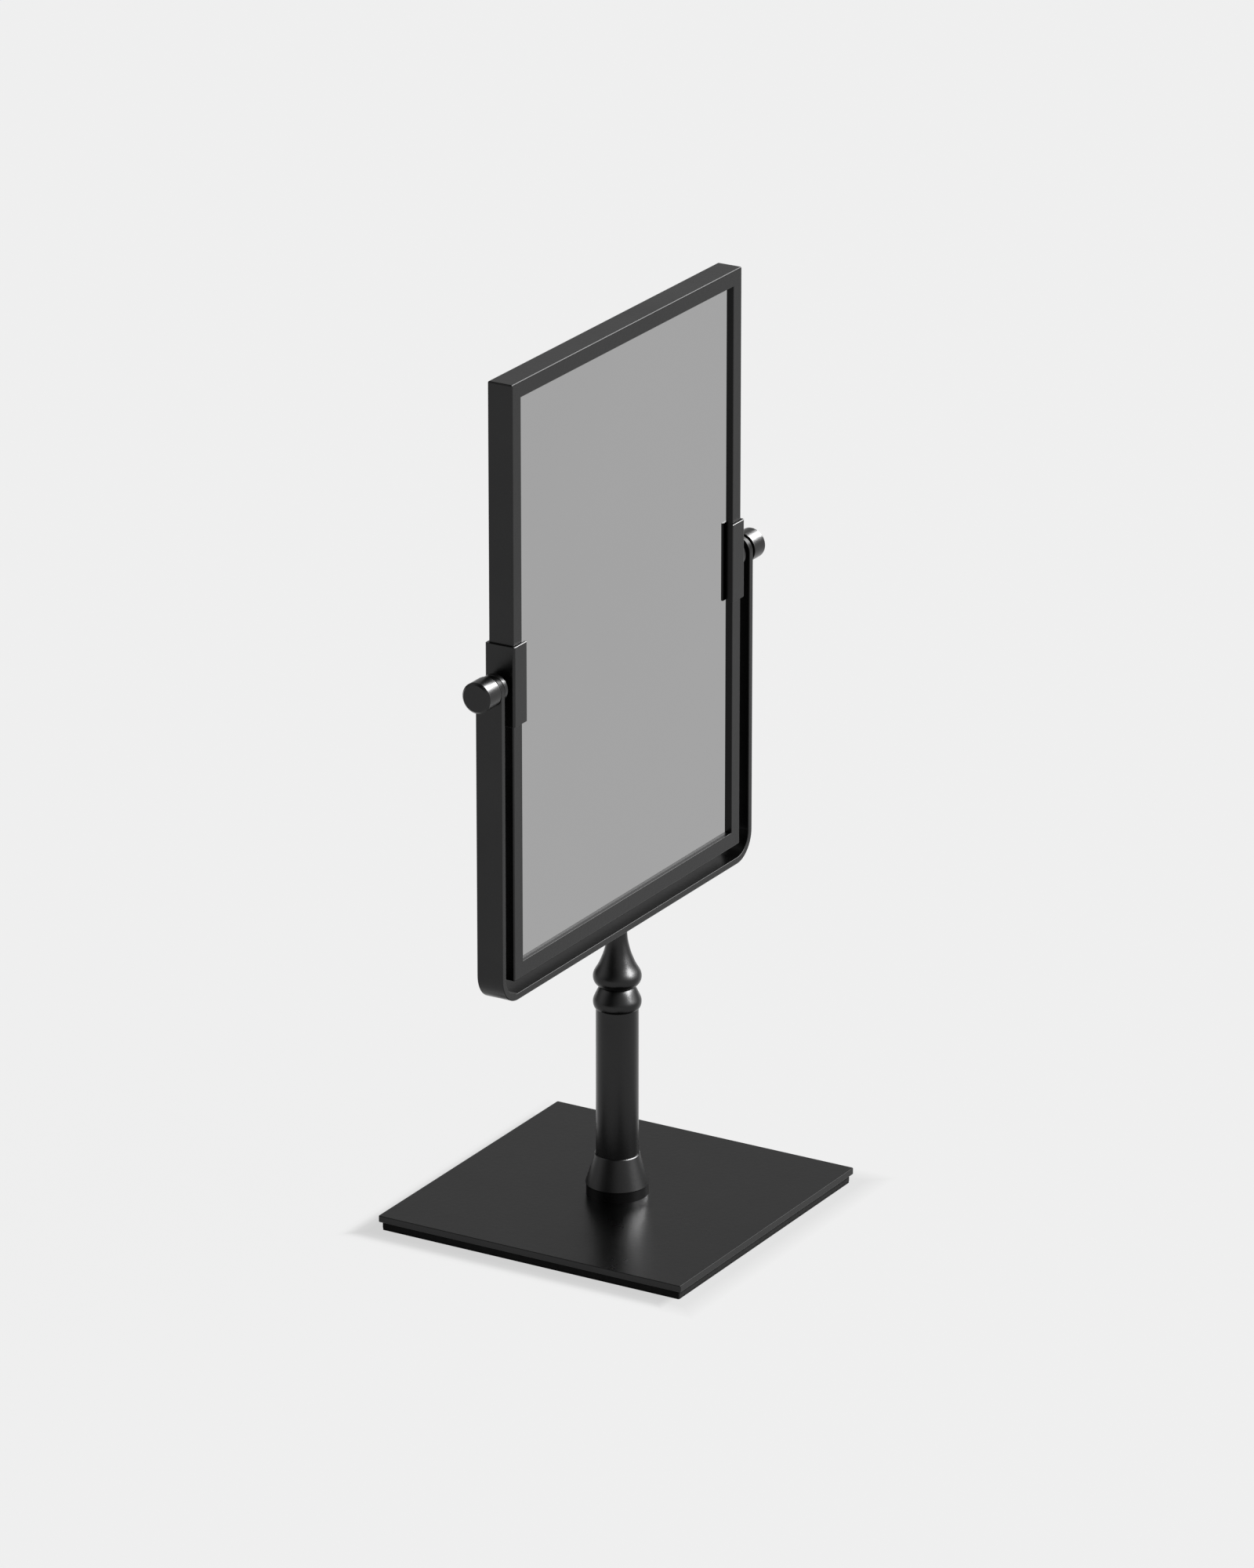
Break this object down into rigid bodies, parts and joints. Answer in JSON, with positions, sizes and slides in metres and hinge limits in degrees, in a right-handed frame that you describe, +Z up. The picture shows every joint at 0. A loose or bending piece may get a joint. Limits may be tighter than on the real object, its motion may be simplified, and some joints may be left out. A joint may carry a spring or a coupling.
{
  "type": "tilting table mirror",
  "caption": "Rectangular table-top make-up mirror, plain in front and magnifying behind, tilting in a flat-bar yoke on a turned column and a square weighted base.",
  "frame": {"origin": "centre of the underside of the base, on the surface that the mirror stands on", "axes": "+Z up along the column, X along the tilt axis and the mirror's width, -Y the way the plain mirror faces, +Y the way the magnifying mirror faces"},
  "size_m": [0.2632, 0.1714, 0.4572],
  "materials": {
    "black_metal": "satin black powder coat",
    "plain_mirror": "polished silvered glass",
    "magnifying_mirror": "polished silvered concave glass",
    "ballast": "black painted casting",
    "felt": "black felt",
    "zinc_steel": "zinc plated",
    "black_screws": "black oxide",
    "board": "plain board",
    "foam": "closed-cell foam",
    "gasket": "matt rubber",
    "washer_plastic": "black nylon"
  },
  "bodies": {
    "stand": {"base_pad": "felt", "base_ballast": "ballast", "base_plate": "black_metal", "base_washer": "zinc_steel", "base_screw": "zinc_steel", "tie_rod": "zinc_steel", "collar_foot": "black_metal", "base_collar": "black_metal", "column_tube": "black_metal", "column_bead": "black_metal", "finial": "black_metal", "yoke": "black_metal"},
    "mirror": {"mirror_frame": "black_metal", "frame_lugs": "zinc_steel", "front_mirror_glass": "plain_mirror", "backing_board": "board", "glass_spacer_frame": "foam", "magnifying_mirror_glass": "magnifying_mirror", "rear_gasket": "gasket", "rear_retaining_frame": "black_metal", "retaining_screws": "black_screws", "left_bracket": "black_metal", "left_pivot_stud": "zinc_steel", "left_spacer": "black_metal", "right_bracket": "black_metal", "right_pivot_stud": "zinc_steel", "right_spacer": "black_metal"},
    "left_knob_body": {"left_knob": "black_metal", "left_friction_washer": "washer_plastic"},
    "right_knob_body": {"right_knob": "black_metal", "right_friction_washer": "washer_plastic"}
  },
  "joints": [
    {"name": "mirror_tilt", "type": "hinge", "parent": "stand", "child": "mirror", "pos_m": [0, 0, 0.3075], "axis": [1, 0, 0], "continuous": true},
    {"name": "left_knob_turn", "type": "hinge", "parent": "mirror", "child": "left_knob_body", "pos_m": [-0.126, 0, 0.3075], "axis": [-1, 0, 0], "continuous": true},
    {"name": "right_knob_turn", "type": "hinge", "parent": "mirror", "child": "right_knob_body", "pos_m": [0.126, 0, 0.3075], "axis": [1, 0, 0], "continuous": true}
  ]
}
